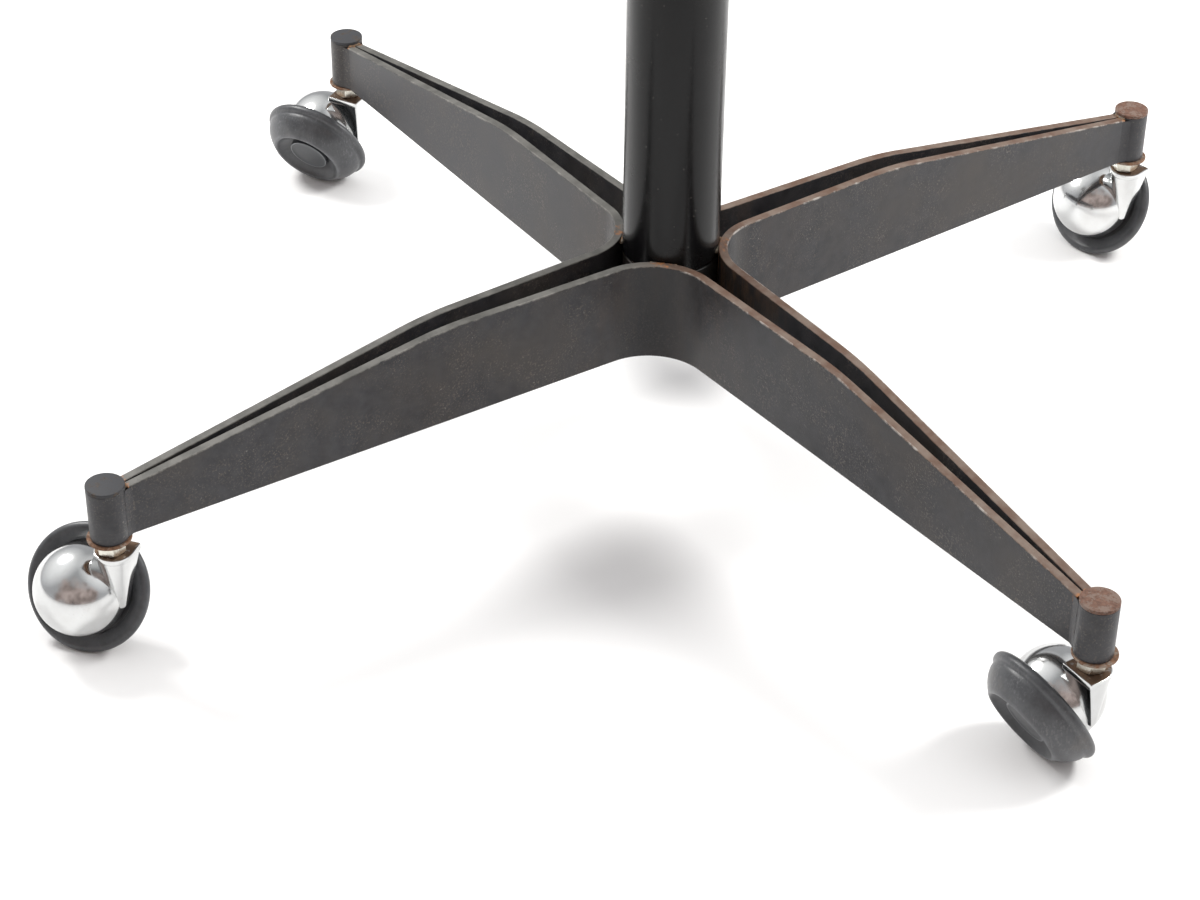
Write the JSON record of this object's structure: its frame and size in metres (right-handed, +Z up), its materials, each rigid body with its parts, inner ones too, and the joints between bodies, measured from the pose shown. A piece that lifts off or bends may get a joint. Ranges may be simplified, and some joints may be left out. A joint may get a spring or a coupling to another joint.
{
  "type": "four-arm swivel pedestal base on ball casters",
  "caption": "Low pedestal base: four tapered arms of bent flat bar around a round column, ball casters at the tips, and a swivel spindle with a round mounting plate.",
  "frame": {"origin": "on the floor, under the centre of the column", "axes": "+Z up along the column and the spindle; -Y the front arm, +X the right arm, +Y the rear arm, -X the left arm"},
  "size_m": [0.7186, 0.7251, 0.3709],
  "materials": {
    "arm_paint": "worn semi-matte charcoal paint with rust specks",
    "column_paint": "gloss black paint",
    "socket_cap_paint": "worn grey-black paint",
    "socket_cap_rust": "rusted through the paint",
    "rusty_washer": "rusty steel",
    "zinc_steel": "dull plated steel",
    "chrome": "polished chrome, lightly pitted",
    "bare_steel": "turned steel",
    "spring_steel": "oiled spring steel",
    "bush_nylon": "natural nylon",
    "tyre_rubber": "dusty, scuffed hard rubber",
    "wheel_plastic": "moulded black",
    "cap_plastic": "satin dark grey"
  },
  "bodies": {
    "base": {"rib_front_right": "arm_paint", "rib_rear_right": "arm_paint", "rib_rear_left": "arm_paint", "rib_front_left": "arm_paint", "hub_core": "arm_paint", "column_tube": "column_paint", "lower_bush": "bush_nylon", "top_bush": "bush_nylon", "socket_front": "arm_paint", "socket_cap_front": "socket_cap_paint", "washer_front": "rusty_washer", "stem_front": "zinc_steel", "socket_right": "arm_paint", "socket_cap_right": "socket_cap_rust", "washer_right": "rusty_washer", "stem_right": "zinc_steel", "socket_rear": "arm_paint", "socket_cap_rear": "socket_cap_rust", "washer_rear": "rusty_washer", "stem_rear": "zinc_steel", "socket_left": "arm_paint", "socket_cap_left": "socket_cap_paint", "washer_left": "rusty_washer", "stem_left": "zinc_steel", "stem_snap_rings": "spring_steel"},
    "swivel_top": {"spindle": "bare_steel", "spindle_clip": "spring_steel", "thrust_washer": "bush_nylon", "top_flange": "arm_paint"},
    "caster_front": {"caster_hood_front": "chrome", "axle_front": "bare_steel", "axle_clip_front": "spring_steel"},
    "wheel_front": {"tyre_front": "tyre_rubber", "wheel_core_front": "wheel_plastic", "wheel_bush_front": "bush_nylon", "wheel_cap_front": "cap_plastic"},
    "caster_right": {"caster_hood_right": "chrome", "axle_right": "bare_steel", "axle_clip_right": "spring_steel"},
    "wheel_right": {"tyre_right": "tyre_rubber", "wheel_core_right": "wheel_plastic", "wheel_bush_right": "bush_nylon", "wheel_cap_right": "cap_plastic"},
    "caster_rear": {"caster_hood_rear": "chrome", "axle_rear": "bare_steel", "axle_clip_rear": "spring_steel"},
    "wheel_rear": {"tyre_rear": "tyre_rubber", "wheel_core_rear": "wheel_plastic", "wheel_bush_rear": "bush_nylon", "wheel_cap_rear": "cap_plastic"},
    "caster_left": {"caster_hood_left": "chrome", "axle_left": "bare_steel", "axle_clip_left": "spring_steel"},
    "wheel_left": {"tyre_left": "tyre_rubber", "wheel_core_left": "wheel_plastic", "wheel_bush_left": "bush_nylon", "wheel_cap_left": "cap_plastic"}
  },
  "joints": [
    {"name": "top_swivel", "type": "hinge", "parent": "base", "child": "swivel_top", "pos_m": [0, 0, 0.3], "axis": [0, 0, 1], "continuous": true},
    {"name": "caster_swivel_front", "type": "hinge", "parent": "base", "child": "caster_front", "pos_m": [0, -0.331, 0.0624], "axis": [0, 0, 1], "continuous": true},
    {"name": "wheel_spin_front", "type": "hinge", "parent": "caster_front", "child": "wheel_front", "pos_m": [-0.02012, -0.33629, 0.0293], "axis": [-0.5333, 0.7078, -0.4633], "continuous": true},
    {"name": "caster_swivel_right", "type": "hinge", "parent": "base", "child": "caster_right", "pos_m": [0.331, 0, 0.0624], "axis": [0, 0, 1], "continuous": true},
    {"name": "wheel_spin_right", "type": "hinge", "parent": "caster_right", "child": "wheel_right", "pos_m": [0.31162, -0.00755, 0.0293], "axis": [-0.0155, -0.8861, -0.4633], "continuous": true},
    {"name": "caster_swivel_rear", "type": "hinge", "parent": "base", "child": "caster_rear", "pos_m": [0, 0.331, 0.0624], "axis": [0, 0, 1], "continuous": true},
    {"name": "wheel_spin_rear", "type": "hinge", "parent": "caster_rear", "child": "wheel_rear", "pos_m": [-0.02033, 0.33542, 0.0293], "axis": [-0.1539, 0.8727, -0.4633], "continuous": true},
    {"name": "caster_swivel_left", "type": "hinge", "parent": "base", "child": "caster_left", "pos_m": [-0.331, 0, 0.0624], "axis": [0, 0, 1], "continuous": true},
    {"name": "wheel_spin_left", "type": "hinge", "parent": "caster_left", "child": "wheel_left", "pos_m": [-0.34429, -0.016, 0.0293], "axis": [0.416, -0.7825, -0.4633], "continuous": true}
  ]
}
